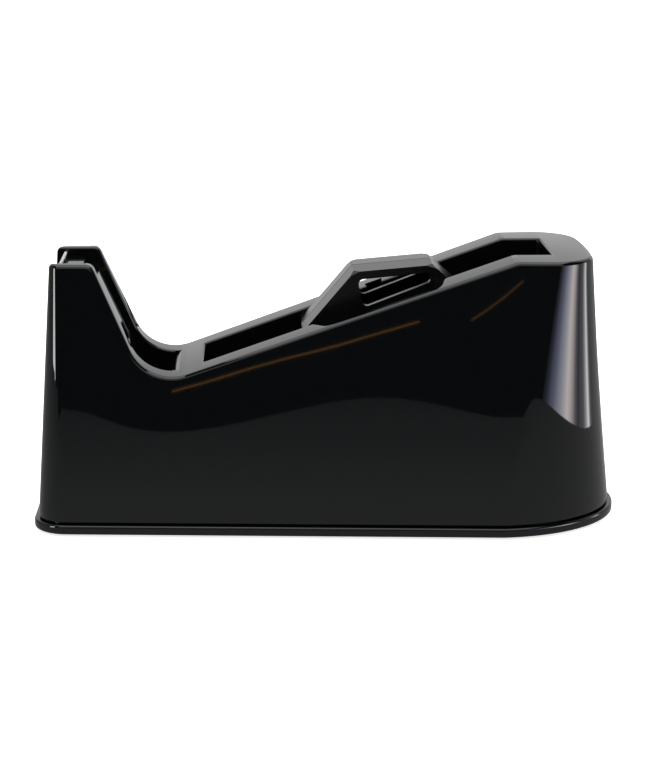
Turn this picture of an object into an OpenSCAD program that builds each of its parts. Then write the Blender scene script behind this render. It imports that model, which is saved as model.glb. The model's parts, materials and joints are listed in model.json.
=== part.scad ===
// Weighted desktop tape dispenser for tape on a 3 inch core.
// X runs along the body with the cutter at -X, Y is across it and Z is up.
// The origin is on the desk, under the middle of the base.

/* [Overall size] */
// Length of the base, lip included
body_length = 215.5; // [200:0.5:240]
// Height of the flat top behind the roll
body_height = 100; // [92:0.5:112]
// Height of the cutter tower
tower_height = 98; // [88:0.5:112]
// Width of the base at its front corners, lip excluded
base_front_width = 56; // [50:0.5:64]
// Width of the base where its rounded rear begins, lip excluded
base_rear_width = 75.5; // [68:0.5:88]
// Width across the cheeks at the top of the tower
top_front_width = 39; // [37:0.5:46]
// Width of the flat top behind the roll
top_rear_width = 64; // [58:0.5:72]

/* [Side outline] */
// How far the front leans back between the base and the tower's top
front_lean = 7.2; // [4:0.2:12]
// How far the rear leans forward between the base and the top
rear_lean = 11.2; // [6:0.2:16]
// Length of the tower's flat top
tower_depth = 15; // [13:0.5:20]
// Slope of the tower's back, from the horizontal
tower_slope = 66.5; // [58:0.5:72]
// Slope of the side rims, from the horizontal
rim_slope = 19.2; // [14:0.2:22]
// Radius of the valley between tower and rims
valley_radius = 16; // [10:0.5:22]
// Length of the flat top behind the rims
rear_flat = 29; // [26:0.5:36]

/* [Plan outline] */
// Radius of the front corners at the base
front_base_radius = 11.5; // [6:0.5:16]
// Radius of the front corners at the top
front_top_radius = 3.5; // [2:0.5:6]
// Radius of the rear corners at the top
rear_top_radius = 16; // [8:0.5:22]
// Length of the base's half-elliptical rear end
rear_end_length = 46.5; // [40:0.5:50]

/* [Shell] */
// Wall of the outer casing
wall = 2.6; // [2:0.1:3.2]
// Wall of the well and of the pockets inside the casing
inner_wall = 2; // [1.6:0.1:2.6]
// Diameter of the posts that take the base screws
post_d = 8; // [7:0.5:10]
// Height of the posts above the base plate
post_height = 26; // [18:1:32]

/* [Roll well] */
// Length of the well at the rims
well_length = 125; // [112:0.5:128]
// Width of the well at its front end
well_front_width = 29.4; // [28.4:0.2:31]
// Width of the well at its rear end
well_rear_width = 32.2; // [30:0.2:34]
// Band of flat top left behind the well
rear_band = 15; // [12:0.5:18]
// Distance from the well's rear wall to the hub's axis
axis_to_rear = 53.7; // [50:0.1:58]
// Depth of the hub's axis below the rims, measured square to them
axis_drop = 24.4; // [22:0.2:27]
// Depth of the axle slots into the rims, outwards from the well
slot_reach = 5; // [4:0.2:6]

/* [Finger scoop] */
// Length of the scoop in the left rim, at the well
scoop_length = 53; // [46:1:58]
// Length of the scoop at its outer end
scoop_outer_length = 41; // [34:1:46]
// Height of the scoop's centre above the rim
scoop_rise = 6; // [4:0.5:10]
// Width of the strip of rim left outside the scoop
scoop_strip = 3; // [2.6:0.1:4]

/* [Tape channel] */
// Width between the tower's cheeks
channel_width = 30.4; // [29.8:0.2:31]
// Depth of the channel's floor below the lowest point of the valley
channel_depth = 13.8; // [11:0.2:16]
// Length of the bridge's flush top, from the well forwards
bridge_length = 9; // [7:0.5:10]
// Radius of the bridge's rounded nose
nose_radius = 13.5; // [11:0.5:14]
// Slope at which the nose starts down
nose_start = 27; // [15:1:35]

/* [Blade holder] */
// Height of the tape rest below the tower's top
rest_drop = 2.7; // [2:0.1:4]
// Distance from the tower's front to the tape rest
rest_back = 5; // [4:0.1:6]
// Length of the tape rest
rest_depth = 5.7; // [4:0.1:7]
// Drop from the tape rest to the finger ledge behind it
ledge_drop = 4; // [3:0.1:5]
// Depth of the holder's back below the tower's slope
holder_inset = 2; // [1.5:0.1:3]
// Thickness of the holder's skin
holder_t = 2.5; // [2:0.1:3]
// Height of the holder's lower edge above the channel's floor
holder_foot = 5; // [3:0.5:12]

/* [Cutter blade] */
// Thickness of the blade
blade_t = 0.8; // [0.5:0.1:1.2]
// Height of the blade, teeth included
blade_height = 12; // [9:0.5:14]
// Distance between teeth
tooth_pitch = 2; // [1.4:0.2:3]
// Height of a tooth
tooth_height = 1.4; // [0.8:0.1:2]
// How far the tooth tips stay below the tower's top
blade_drop = 1.2; // [0.4:0.1:2]

/* [Core hub] */
// Size of the octagonal hub across its corners
hub_size = 75; // [70:0.5:76]
// Width of the hub
hub_width = 24; // [22:0.5:25]
// Wall of the hub's rim and webs
hub_wall = 2.6; // [2:0.1:3.2]
// How much the hub narrows towards its faces, on the radius
hub_draft = 0.4; // [0.2:0.1:0.8]
// Turn of the hub at rest
hub_turn = 4.8; // [0:0.2:22]
// Diameter of the arbor inside the hub
arbor_d = 25; // [22:0.5:25.4]
// Distance of the hub screws from the axis
hub_screw_reach = 18; // [17:0.5:20]

/* [Axle] */
// Diameter of the axle
axle_d = 5.6; // [4.6:0.2:6.4]
// Running clearance between axle and bore, on the radius
axle_fit = 0.06; // [0.03:0.01:0.1]
// Diameter of the thrust washers
washer_d = 14; // [11:0.5:18]
// Thickness of the thrust washers
washer_t = 0.8; // [0.5:0.1:1]
// Thickness of the drag spring's disc
spring_t = 0.4; // [0.3:0.1:0.6]

/* [Base] */
// Thickness of the base plate
plate_t = 3.4; // [2.4:0.2:4.4]
// How far the plate's lip stands out from the casing
lip = 1.5; // [1:0.1:2.4]
// Height of the plate's locating rib inside the casing
rib_height = 2.4; // [1.6:0.2:3]
// Diameter of the rubber feet
foot_d = 13; // [10:0.5:16]
// How far the feet stand below the plate
foot_drop = 1; // [0.6:0.1:1.6]
// Depth of the feet's seats in the plate
foot_seat = 1; // [0.6:0.1:1.2]

/* [Ballast] */
// Room between the front ballast block and the underside of the channel's floor
front_weight_room = 4.1; // [2:0.1:12]
// Height of the rear ballast block
rear_weight_height = 56; // [40:1:64]

/* [Screws and fits] */
// Shank diameter of the casing screws
screw_d = 3; // [2.5:0.1:3.5]
// Head diameter of the casing screws
screw_head_d = 5.8; // [5:0.1:6.6]
// Height of the screw heads
screw_head_h = 1.8; // [1.4:0.1:2.2]
// Clearance between pieces that are fixed together
fit = 0.15; // [0.1:0.05:0.25]

/* [Hidden] */
$fn = 48;
slice = 0.01;       // thickness of the outlines that a hull joins
blend = 0.02;       // how far a round bites into the flats it blends
reach = 400;        // longer than anything that is cut

// Heights
plate_z = foot_drop;
shell_z = plate_z + plate_t;
floor_z = shell_z + rib_height + inner_wall;

// Places along X
base_front_x = -body_length / 2 + lip;
base_rear_x = body_length / 2 - lip;
top_front_x = base_front_x + front_lean;
top_rear_x = base_rear_x - rear_lean;
tower_back_x = top_front_x + tower_depth;
rim_end_x = top_rear_x - rear_flat;
well_rear_x = top_rear_x - rear_band;
well_front_x = well_rear_x - well_length;

// Side rims: a straight line that ends at the flat top
function rim_z(x) = body_height - (rim_end_x - x) * tan(rim_slope);

// Valley: where the tower's back would meet the rims, and the round between them
valley_x = (tower_height - rim_z(0) + tower_back_x * tan(tower_slope)) / (tan(rim_slope) + tan(tower_slope));
valley_z = rim_z(valley_x);
valley_turn = rim_slope + tower_slope;
valley_tangent = valley_radius * tan(valley_turn / 2);
valley_centre = [
  valley_x + valley_tangent * cos(rim_slope) - valley_radius * sin(rim_slope),
  valley_z + valley_tangent * sin(rim_slope) + valley_radius * cos(rim_slope)
];

// Hub axis
axis_x = well_rear_x - axis_to_rear;
axis_z = rim_z(axis_x) - axis_drop / cos(rim_slope);
axle_r = axle_d / 2;
slot_r = axle_r + axle_fit;
hub_r = hub_size / 2;
hub_apothem = hub_r * cos(22.5);
half_hub = hub_width / 2;
collar = 1.2;

// Half width of the well at a place along X
function well_half(x) =
  (well_front_width + (well_rear_width - well_front_width) * (x - well_front_x) / well_length) / 2;
slot_end_y = well_half(axis_x) + slot_reach;

// Half width of the casing's top at a place along X
function top_half(x) =
  (top_front_width + (top_rear_width - top_front_width) * (x - top_front_x) / (rim_end_x - top_front_x)) / 2;

// Half width of the casing's base at a place along X
rear_end_x = base_rear_x - rear_end_length;
function base_half(x) =
  (base_front_width + (base_rear_width - base_front_width) * (x - base_front_x) / (rear_end_x - base_front_x)) / 2;

// Tape channel and blade holder
half_channel = channel_width / 2;
bridge_x = well_front_x - bridge_length;
valley_end_x = valley_x + valley_tangent * cos(rim_slope);
bridge_z = bridge_x > valley_end_x ? rim_z(bridge_x)
  : valley_centre[1] - sqrt(valley_radius * valley_radius - pow(bridge_x - valley_centre[0], 2));
channel_floor_z = valley_centre[1] - valley_radius - channel_depth;
nose_centre = [bridge_x + nose_radius * sin(nose_start), bridge_z - nose_radius * cos(nose_start)];
rest_z = tower_height - rest_drop;
rest_x = top_front_x + rest_back;
ledge_z = rest_z - ledge_drop;
seat_z = ledge_z - holder_t;
seat_inset = holder_inset + holder_t;
half_holder = half_channel - fit;

// The point on the tower's back at a height, moved square into the tower
function back_x(z, inset) = tower_back_x + (tower_height - z) / tan(tower_slope) - inset / sin(tower_slope);

// Blade: it stands in a pocket in the front, screwed to the holder's skirt
blade_x = top_front_x + wall;
blade_top_z = tower_height - blade_drop;
blade_foot_z = blade_top_z - blade_height;
blade_width = channel_width - 2;
blade_screw_z = blade_foot_z + 3;
blade_screw_y = blade_width / 4;
blade_screw_d = 2;
holder_front_x = blade_x + blade_t;
skirt_t = 2.2;
pocket_x = holder_front_x + skirt_t + fit;
pocket_z = blade_foot_z - 0.5;

// Screws up through the casing's seat into the holder
holder_screw_x = (pocket_x + inner_wall + back_x(seat_z - inner_wall, seat_inset + inner_wall)) / 2;
holder_screw_y = half_channel / 2 + 1;
holder_screw_bite = 3;

// Base screws, weights and feet
front_post = [base_front_x + 32, base_half(base_front_x + 32) - wall - post_d / 2 + 0.8];
rear_post = [rear_end_x - 4, base_half(rear_end_x - 4) - wall - post_d / 2 + 0.8];
front_foot = [base_front_x + foot_d, base_half(base_front_x) - foot_d / 2 - 5];
rear_foot = [rear_end_x + 22, base_rear_width / 2 - foot_d / 2 - 9];
weight_gap = 1;
thread_gap = 0.05;
front_weight_x = [base_front_x + wall + 8, well_front_x - inner_wall - weight_gap];
rear_weight_x = [well_rear_x + inner_wall + weight_gap, top_rear_x - wall];
weight_z = shell_z;
front_weight_height = channel_floor_z - inner_wall - front_weight_room - weight_z;
weight_screw_depth = 9;
front_weight_screw_x = (front_weight_x[0] + front_weight_x[1]) / 2;
rear_weight_screw_x = (rear_weight_x[0] + rear_weight_x[1]) / 2;

black = [0.03, 0.035, 0.04];
steel = [0.78, 0.79, 0.8];
iron = [0.3, 0.31, 0.32];
rubber = [0.12, 0.12, 0.12];
nylon = [0.9, 0.89, 0.85];

// ---------- helpers ----------

// Extrudes an X-Z outline across the body, between two places on Y
module across(y0, y1) {
  translate([0, y1, 0]) rotate([90, 0, 0]) linear_extrude(y1 - y0) children();
}

// A cylinder along Y that ends at y1
module bar(r, y0, y1) {
  translate([0, y1, 0]) rotate([90, 0, 0]) cylinder(r = r, h = y1 - y0);
}

// Places something at the hub's axis
module at_axis() {
  translate([axis_x, 0, axis_z]) children();
}

// Repeats something on both sides of the middle plane
module both_sides(y) {
  for (side = [-1, 1]) translate([0, side * y, 0]) children();
}

// Outline of the casing at the base, moved in or out by grow
module base_outline(grow) {
  hull() {
    for (side = [-1, 1])
      translate([base_front_x + front_base_radius, side * (base_front_width / 2 - front_base_radius)])
        circle(r = front_base_radius + grow, $fn = 40);
    translate([rear_end_x, 0])
      scale([(rear_end_length + grow) / (base_rear_width / 2 + grow), 1])
        circle(r = base_rear_width / 2 + grow, $fn = 80);
  }
}

// Outline of the casing at the top, moved in or out by grow
module top_outline(grow) {
  hull() {
    for (side = [-1, 1]) {
      translate([top_front_x + front_top_radius, side * (top_front_width / 2 - front_top_radius)])
        circle(r = max(front_top_radius + grow, 0.4), $fn = 40);
      translate([top_rear_x - rear_top_radius, side * (top_rear_width / 2 - rear_top_radius)])
        circle(r = rear_top_radius + grow, $fn = 80);
    }
  }
}

// The leaning block that the casing is cut from, a little taller than the casing
module drafted_block(grow) {
  hull() {
    translate([0, 0, shell_z - 1]) linear_extrude(slice) base_outline(grow);
    translate([0, 0, max(body_height, tower_height) + 1]) linear_extrude(slice) top_outline(grow);
  }
}

// Side outline from a level up to the tower's top, the valley and the rims, lowered by drop
module side_outline(drop, low_z) {
  r = valley_radius + drop;
  t = r * tan(valley_turn / 2);
  slope_shift = drop / sin(tower_slope) - drop / tan(tower_slope);
  rim_shift = drop / cos(rim_slope);
  end_shift = drop * tan(rim_slope / 2);
  vx = valley_centre[0] + r * sin(rim_slope) - t * cos(rim_slope);
  vz = valley_centre[1] - r * cos(rim_slope) - t * sin(rim_slope);
  difference() {
    union() {
      polygon([
        [-reach, low_z],
        [-reach, tower_height - drop],
        [tower_back_x - slope_shift, tower_height - drop],
        [vx, vz],
        [rim_end_x + end_shift, body_height - drop],
        [reach, body_height - drop],
        [reach, low_z]
      ]);
      polygon([
        [vx, vz],
        [vx - t * cos(tower_slope), vz + t * sin(tower_slope)],
        [vx + t * cos(rim_slope), vz + t * sin(rim_slope)]
      ]);
    }
    translate(valley_centre) circle(r = r + blend, $fn = 120);
  }
}

// Plan of the roll well, with its walls moved out by grow
module well_plan(grow) {
  polygon([
    [well_front_x - grow, -well_half(well_front_x - grow) - grow],
    [well_rear_x + grow, -well_half(well_rear_x + grow) - grow],
    [well_rear_x + grow, well_half(well_rear_x + grow) + grow],
    [well_front_x - grow, well_half(well_front_x - grow) + grow]
  ]);
}

// Room above the tape channel's floor: grow 0 cuts the channel, more leaves its skin
module channel_room(grow) {
  across(-half_channel - grow, half_channel + grow)
    difference() {
      polygon([
        [-reach, reach],
        [-reach, pocket_z - grow],
        [pocket_x + grow, pocket_z - grow],
        [pocket_x + grow, seat_z - grow],
        [back_x(seat_z - grow, seat_inset + grow), seat_z - grow],
        [back_x(channel_floor_z - grow, seat_inset + grow), channel_floor_z - grow],
        [nose_centre[0] - nose_radius + grow, channel_floor_z - grow],
        [nose_centre[0] - nose_radius + grow, nose_centre[1]],
        nose_centre,
        [bridge_x, bridge_z],
        [bridge_x, reach]
      ]);
      translate(nose_centre) circle(r = nose_radius - grow, $fn = 96);
    }
}

// Slot for the axle, open at the rim: grow adds the skin around it
module axle_slot(grow) {
  r = slot_r + grow;
  end_y = slot_end_y + grow;
  at_axis() rotate([0, -rim_slope, 0]) across(-end_y, end_y) {
    circle(r = r);
    translate([-r, 0]) square([2 * r, hub_size]);
  }
}

// Finger scoop in the left rim, wider at the well than at the outer wall
module finger_scoop(grow) {
  half_in = scoop_length / 2;
  half_out = scoop_outer_length / 2;
  r_in = sqrt(half_in * half_in + scoop_rise * scoop_rise);
  r_out = sqrt(half_out * half_out + scoop_rise * scoop_rise);
  scoop_y = well_half(axis_x);
  outer_y = top_half(axis_x) - scoop_strip + grow;
  at_axis() rotate([0, -rim_slope, 0]) translate([0, -scoop_y + inner_wall, axis_drop + scoop_rise])
    rotate([90, 0, 0]) cylinder(r1 = r_in + grow, r2 = r_out + grow, h = outer_y - scoop_y + inner_wall);
}

// A screw along Z, head at the bottom, drawn from its head's underside
module screw(length) {
  cylinder(d = screw_head_d, h = screw_head_h);
  cylinder(d = screw_d, h = screw_head_h + length);
}

// ---------- casing ----------

module post_places() {
  for (p = [front_post, rear_post], side = [-1, 1]) translate([p[0], side * p[1], 0]) children();
}

// Hollow between the casing's walls
module casing_hollow() {
  difference() {
    intersection() {
      drafted_block(-wall);
      across(-reach, reach) side_outline(wall, 0);
    }
    translate([0, 0, floor_z - inner_wall]) linear_extrude(reach) well_plan(inner_wall);
    channel_room(inner_wall);
    axle_slot(inner_wall);
    finger_scoop(inner_wall);
    post_places() translate([0, 0, shell_z + rib_height]) cylinder(d = post_d, h = post_height);
  }
}

module body_shell() {
  color(black) difference() {
    intersection() {
      drafted_block(0);
      across(-reach, reach) side_outline(0, shell_z);
    }
    casing_hollow();
    translate([0, 0, floor_z]) linear_extrude(reach) well_plan(0);
    channel_room(0);
    axle_slot(0);
    finger_scoop(0);
    post_places() cylinder(d = screw_d + 2 * thread_gap, h = shell_z + rib_height + post_height - 4);
    both_sides(holder_screw_y) translate([holder_screw_x, 0, seat_z - inner_wall - 1])
      cylinder(d = blade_screw_d + 2 * fit, h = inner_wall + 2);
  }
}

// ---------- cutter ----------

module blade_holder() {
  low_z = channel_floor_z + holder_foot;
  color(black) difference() {
    union() {
      across(-half_holder, half_holder) polygon([
        [holder_front_x, seat_z],
        [holder_front_x, rest_z - 0.8],
        [holder_front_x + 0.8, rest_z - 0.8],
        [rest_x, rest_z - 2.2],
        [rest_x, rest_z],
        [rest_x + rest_depth, rest_z],
        [rest_x + rest_depth + 0.8, ledge_z],
        [back_x(ledge_z, holder_inset), ledge_z],
        [back_x(low_z, holder_inset), low_z],
        [back_x(low_z, seat_inset - slice), low_z],
        [back_x(seat_z, seat_inset - slice), seat_z]
      ]);
      across(-half_holder, half_holder) translate([holder_front_x, blade_foot_z])
        square([skirt_t, seat_z + 1 - blade_foot_z]);
    }
    both_sides(holder_screw_y) translate([holder_screw_x, 0, seat_z - 1])
      cylinder(d = blade_screw_d + 2 * thread_gap, h = holder_screw_bite + 1.5);
    both_sides(blade_screw_y) translate([holder_front_x - 1, 0, blade_screw_z])
      rotate([0, 90, 0]) cylinder(d = blade_screw_d + 2 * thread_gap, h = skirt_t + 2);
  }
}

module cutter_blade() {
  teeth = floor(blade_width / tooth_pitch);
  edge_y = teeth * tooth_pitch / 2;
  color(steel) difference() {
    translate([blade_x, 0, 0]) rotate([90, 0, 90]) linear_extrude(blade_t)
      polygon(concat(
        [[edge_y, blade_foot_z], [-edge_y, blade_foot_z]],
        [for (i = [0 : 2 * teeth])
          [-edge_y + i * tooth_pitch / 2, blade_top_z - (i % 2 == 0 ? tooth_height : 0)]]
      ));
    both_sides(blade_screw_y) translate([blade_x - 1, 0, blade_screw_z])
      rotate([0, 90, 0]) cylinder(d = blade_screw_d + 2 * fit, h = 4);
  }
}

module blade_screws() {
  color(steel) both_sides(blade_screw_y) translate([blade_x, 0, blade_screw_z]) rotate([0, 90, 0]) {
    translate([0, 0, -1.3]) cylinder(d = blade_screw_d * 2, h = 1.3);
    translate([0, 0, -1]) cylinder(d = blade_screw_d, h = 1 + blade_t + skirt_t);
  }
}

module holder_screws() {
  color(steel) both_sides(holder_screw_y)
    translate([holder_screw_x, 0, seat_z - inner_wall]) {
      translate([0, 0, -1.3]) cylinder(d = blade_screw_d * 2, h = 1.3);
      translate([0, 0, -1]) cylinder(d = blade_screw_d, h = 1 + inner_wall + holder_screw_bite);
    }
}

// ---------- core hub ----------

// Octagon that the hub is made of, standing in X-Z around the axis
module octagon(r) {
  rotate(22.5 + hub_turn) circle(r = r, $fn = 8);
}

// One window of a web, above the axis
module window_outline() {
  k = hub_apothem / 34.6;
  polygon([[-13.1 * k, 31.3 * k], [13.3 * k, 31.6 * k], [13 * k, 28.1 * k], [-11.8 * k, 20.9 * k]]);
}

// One half of the hub: side -1 is the left half and +1 the right one
module hub_half(side) {
  color(black) at_axis() scale([1, side, 1]) difference() {
    hull() {
      across(0, slice) octagon(hub_r);
      across(half_hub - slice, half_hub) octagon(hub_r - hub_draft);
    }
    difference() {
      across(-1, half_hub - hub_wall) octagon(hub_r - hub_draft - hub_wall);
      bar(arbor_d / 2 + fit + hub_wall, -1, half_hub);
      for (a = [0, 180]) rotate([0, -a - hub_turn, 0]) translate([hub_screw_reach, 0, 0])
        bar(screw_d / 2 + 2, -1, half_hub);
    }
    bar(arbor_d / 2 + fit, -1, half_hub + 1);
    bar(arbor_d / 2 + collar + fit, -1, collar);
    for (a = [0 : 90 : 270])
      across(half_hub - hub_wall - 1, half_hub + 1) rotate(a + hub_turn) window_outline();
    for (a = [0, 180]) rotate([0, -a - hub_turn, 0]) translate([hub_screw_reach, 0, 0]) {
      bar(screw_d / 2 + fit, -1, side < 0 ? half_hub + 1 : half_hub - 0.8);
      if (side < 0) bar(screw_head_d / 2 + fit, half_hub - screw_head_h, half_hub + 1);
    }
  }
}

module left_hub_half() { hub_half(-1); }
module right_hub_half() { hub_half(1); }

// The arbor's collar is clamped between the hub halves
module core_arbor() {
  color(black) at_axis() difference() {
    union() {
      difference() {
        bar(arbor_d / 2 + collar, -collar, collar);
        bar(arbor_d / 2 - 1, -collar - 1, collar + 1);
      }
      difference() {
        bar(arbor_d / 2, -half_hub, half_hub);
        bar(arbor_d / 2 - hub_wall, -half_hub + hub_wall, half_hub + 1);
      }
      bar(axle_r + 2.4, -half_hub + 1, half_hub);
    }
    bar(slot_r, -half_hub - 1, half_hub + 1);
  }
}

module hub_screws() {
  color(steel) at_axis() for (a = [0, 180]) rotate([0, -a - hub_turn, 0]) translate([hub_screw_reach, 0, 0]) {
    bar(screw_head_d / 2, -half_hub + 0.1, -half_hub + screw_head_h);
    bar(screw_d / 2, -half_hub + 0.1, half_hub - 1);
  }
}

// ---------- axle ----------

module axle() {
  color(steel) at_axis() bar(axle_r, -slot_end_y + 0.3, slot_end_y - 0.3);
}

// A washer on the axle, from y0 to y1
module washer(y0, y1) {
  at_axis() difference() {
    bar(washer_d / 2, y0, y1);
    bar(axle_r, y0 - 1, y1 + 1);
  }
}

washer_y = half_hub + 0.1;
module left_thrust_washer() { color(nylon) washer(-washer_y - washer_t, -washer_y); }
module right_thrust_washer() { color(nylon) washer(washer_y, washer_y + washer_t); }

// A coned disc that presses the washer against the hub
module drag_spring() {
  y0 = washer_y + washer_t;
  y1 = well_half(axis_x) - 0.3;
  color(steel) at_axis() translate([0, y0, 0]) rotate([-90, 0, 0]) rotate_extrude()
    polygon([
      [washer_d / 2 - spring_t, 0], [washer_d / 2, 0],
      [axle_r + spring_t, y1 - y0], [axle_r, y1 - y0]
    ]);
}

// ---------- ballast and base ----------

module front_weight() {
  x0 = front_weight_x[0];
  x1 = front_weight_x[1];
  lean = front_weight_height * 0.1;
  half = base_half(x0) - wall - 4 - lean;
  color(iron) difference() {
    translate([x0, -half, weight_z]) cube([x1 - x0, 2 * half, front_weight_height]);
    post_places() cylinder(d = post_d + 2, h = reach);
    translate([front_weight_screw_x, 0, 0])
      cylinder(d = screw_d + 2 * thread_gap, h = weight_z + weight_screw_depth);
  }
}

module rear_weight() {
  x0 = rear_weight_x[0];
  x1 = rear_weight_x[1];
  r = top_rear_width / 2 + 4;
  color(iron) difference() {
    intersection() {
      translate([x1 - r, 0, weight_z]) cylinder(r = r, h = rear_weight_height, $fn = 96);
      translate([x0, -reach / 2, 0]) cube([reach, reach, reach]);
    }
    translate([rear_weight_screw_x, 0, 0])
      cylinder(d = screw_d + 2 * thread_gap, h = weight_z + weight_screw_depth);
  }
}

module weight_screw_places() {
  for (x = [front_weight_screw_x, rear_weight_screw_x]) translate([x, 0, 0]) children();
}

module weight_screws() {
  color(steel) weight_screw_places() translate([0, 0, plate_z + 0.4])
    screw(weight_z + weight_screw_depth - plate_z - screw_head_h - 1.4);
}

module base_screws() {
  color(steel) post_places() translate([0, 0, plate_z + 0.4]) screw(14);
}

module foot_places() {
  for (p = [front_foot, rear_foot], side = [-1, 1]) translate([p[0], side * p[1], 0]) children();
}

module base_plate() {
  color(black) difference() {
    union() {
      translate([0, 0, plate_z]) linear_extrude(plate_t) base_outline(lip);
      difference() {
        translate([0, 0, shell_z - slice]) linear_extrude(rib_height) base_outline(-wall - 0.5);
        translate([0, 0, shell_z]) linear_extrude(reach) base_outline(-wall - 2.5);
      }
      intersection() {
        post_places() cylinder(d = post_d, h = shell_z + rib_height);
        linear_extrude(reach) base_outline(-wall - 0.5);
      }
    }
    translate([0, 0, -reach]) linear_extrude(reach + plate_z) square(2 * reach, center = true);
    foot_places() cylinder(d = foot_d + 2 * fit, h = plate_z + foot_seat);
    for (k = [0, 1]) {
      weight_screw_places() cylinder(d = k == 0 ? screw_d + 0.6 : screw_head_d + 0.4,
        h = k == 0 ? reach : plate_z + 0.4 + screw_head_h);
      post_places() cylinder(d = k == 0 ? screw_d + 0.6 : screw_head_d + 0.4,
        h = k == 0 ? reach : plate_z + 0.4 + screw_head_h);
    }
  }
}

// A rubber foot: 0 is the front pair and 1 the rear pair
module foot(pair, side) {
  p = pair == 0 ? front_foot : rear_foot;
  color(rubber) translate([p[0], side * p[1], 0]) cylinder(d = foot_d, h = plate_z + foot_seat - fit);
}

module front_left_foot() { foot(0, -1); }
module front_right_foot() { foot(0, 1); }
module rear_left_foot() { foot(1, -1); }
module rear_right_foot() { foot(1, 1); }

body_shell();
blade_holder();
cutter_blade();
blade_screws();
holder_screws();
left_hub_half();
right_hub_half();
core_arbor();
hub_screws();
axle();
left_thrust_washer();
right_thrust_washer();
drag_spring();
front_weight();
rear_weight();
weight_screws();
base_plate();
base_screws();
front_left_foot();
front_right_foot();
rear_left_foot();
rear_right_foot();
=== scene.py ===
import json

import bpy
import numpy as np
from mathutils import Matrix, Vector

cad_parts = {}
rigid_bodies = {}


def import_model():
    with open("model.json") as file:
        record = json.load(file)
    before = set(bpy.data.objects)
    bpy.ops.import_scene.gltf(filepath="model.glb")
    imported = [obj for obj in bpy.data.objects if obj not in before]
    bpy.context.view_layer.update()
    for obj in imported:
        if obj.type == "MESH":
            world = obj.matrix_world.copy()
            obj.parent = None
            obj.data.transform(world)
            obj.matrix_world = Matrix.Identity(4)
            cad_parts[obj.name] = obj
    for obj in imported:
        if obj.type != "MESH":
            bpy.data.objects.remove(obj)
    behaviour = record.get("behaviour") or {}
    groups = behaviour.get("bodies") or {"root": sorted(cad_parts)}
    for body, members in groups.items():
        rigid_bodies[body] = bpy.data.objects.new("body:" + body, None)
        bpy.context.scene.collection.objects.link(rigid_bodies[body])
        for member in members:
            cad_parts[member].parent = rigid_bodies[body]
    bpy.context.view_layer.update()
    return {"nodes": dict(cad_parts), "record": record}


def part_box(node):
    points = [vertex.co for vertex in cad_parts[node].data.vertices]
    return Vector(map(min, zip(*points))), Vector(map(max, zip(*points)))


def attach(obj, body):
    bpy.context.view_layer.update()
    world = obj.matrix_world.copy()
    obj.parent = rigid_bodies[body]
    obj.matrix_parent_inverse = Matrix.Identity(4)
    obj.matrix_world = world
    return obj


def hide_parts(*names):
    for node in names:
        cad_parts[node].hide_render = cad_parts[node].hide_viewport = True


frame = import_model()
MM = 0.001

# %% [markdown]
# ## Small tools
# Each surface is a grid of points, so one function turns a grid into faces and another puts
# points and faces into a Blender mesh. Faces are shaded smooth except across sharp edges.
# %% Grids and meshes
def unit(v):
    """Every vector divided by its own length."""
    v = np.asarray(v, float)
    return v / np.maximum(np.linalg.norm(v, axis=-1, keepdims=True), 1e-12)


def grid_faces(rows, cols, close_rows=False, close_cols=False):
    """Quads between neighbours of a rows by cols grid whose points are numbered row by row."""
    r = np.arange(rows if close_rows else rows - 1)
    c = np.arange(cols if close_cols else cols - 1)
    i, j = [a.ravel() for a in np.meshgrid(r, c, indexing="ij")]
    i2, j2 = (i + 1) % rows, (j + 1) % cols
    return np.stack([i * cols + j, i * cols + j2, i2 * cols + j2, i2 * cols + j], axis=1)


def new_mesh(name, points, faces, sharp_deg=32.0, flip=False):
    """A mesh object from points in millimetres and lists of point numbers, shown in metres."""
    mesh = bpy.data.meshes.new(name)
    order = [tuple(int(k) for k in (f[::-1] if flip else f)) for f in faces]
    mesh.from_pydata((np.asarray(points, float) * MM).tolist(), [], order)
    mesh.validate()
    shade(mesh, sharp_deg)
    piece = bpy.data.objects.new(name, mesh)
    bpy.context.scene.collection.objects.link(piece)
    return piece


def shade(mesh, sharp_deg):
    """Smooth shading that breaks where two faces meet at more than sharp_deg."""
    mesh.polygons.foreach_set("use_smooth", np.ones(len(mesh.polygons), bool))
    mesh.set_sharp_from_angle(angle=np.radians(sharp_deg))
    mesh.update()


def arc(centre, radius, start_deg, end_deg, count):
    """Points of a circle's arc: centre plus radius times (cos t, sin t), t from start to end."""
    t = np.radians(np.linspace(start_deg, end_deg, count))
    return np.asarray(centre, float) + radius * np.stack([np.cos(t), np.sin(t)], axis=1)


# %% [markdown]
# ## Sizes
# These are the CAD's own sizes, to within 0.05 mm. The printed line gives the casing's box in
# the frame, to compare them with.
# %% Sizes from the drawing
PLATE_Z, SHELL_Z = 1.0, 4.4
LOW_Z, TOP_Z = 3.4, 101.0  # heights at which the two plan outlines of the casing are drawn
FRONT_X = -106.25
TOP_FRONT_X, TOP_REAR_X = -99.05, 95.05
TOWER_X, TOWER_Z, FLAT_X, FLAT_Z = -84.05, 98.0, 66.05, 100.0
TOWER_SLOPE, RIM_SLOPE, VALLEY_R = 66.5, 19.2, 16.0
WELL_X = (-44.95, 80.05)
WELL_HALF = (14.7, 16.1)
WELL_FLOOR = 8.8
CHANNEL_HALF = 15.2
AXIS = np.array([26.35, 0.0, 60.338])
NOSE, NOSE_R, BRIDGE = np.array([-47.82, 46.48]), 13.5, np.array([-53.95, 58.51])
CHANNEL_FLOOR = 44.5
EDGE_R = 1.6  # rounding of the casing's outer top edges
shell_low, shell_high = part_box("body_shell")
print("casing from", [round(v / MM, 2) for v in shell_low], "to", [round(v / MM, 2) for v in shell_high])

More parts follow.
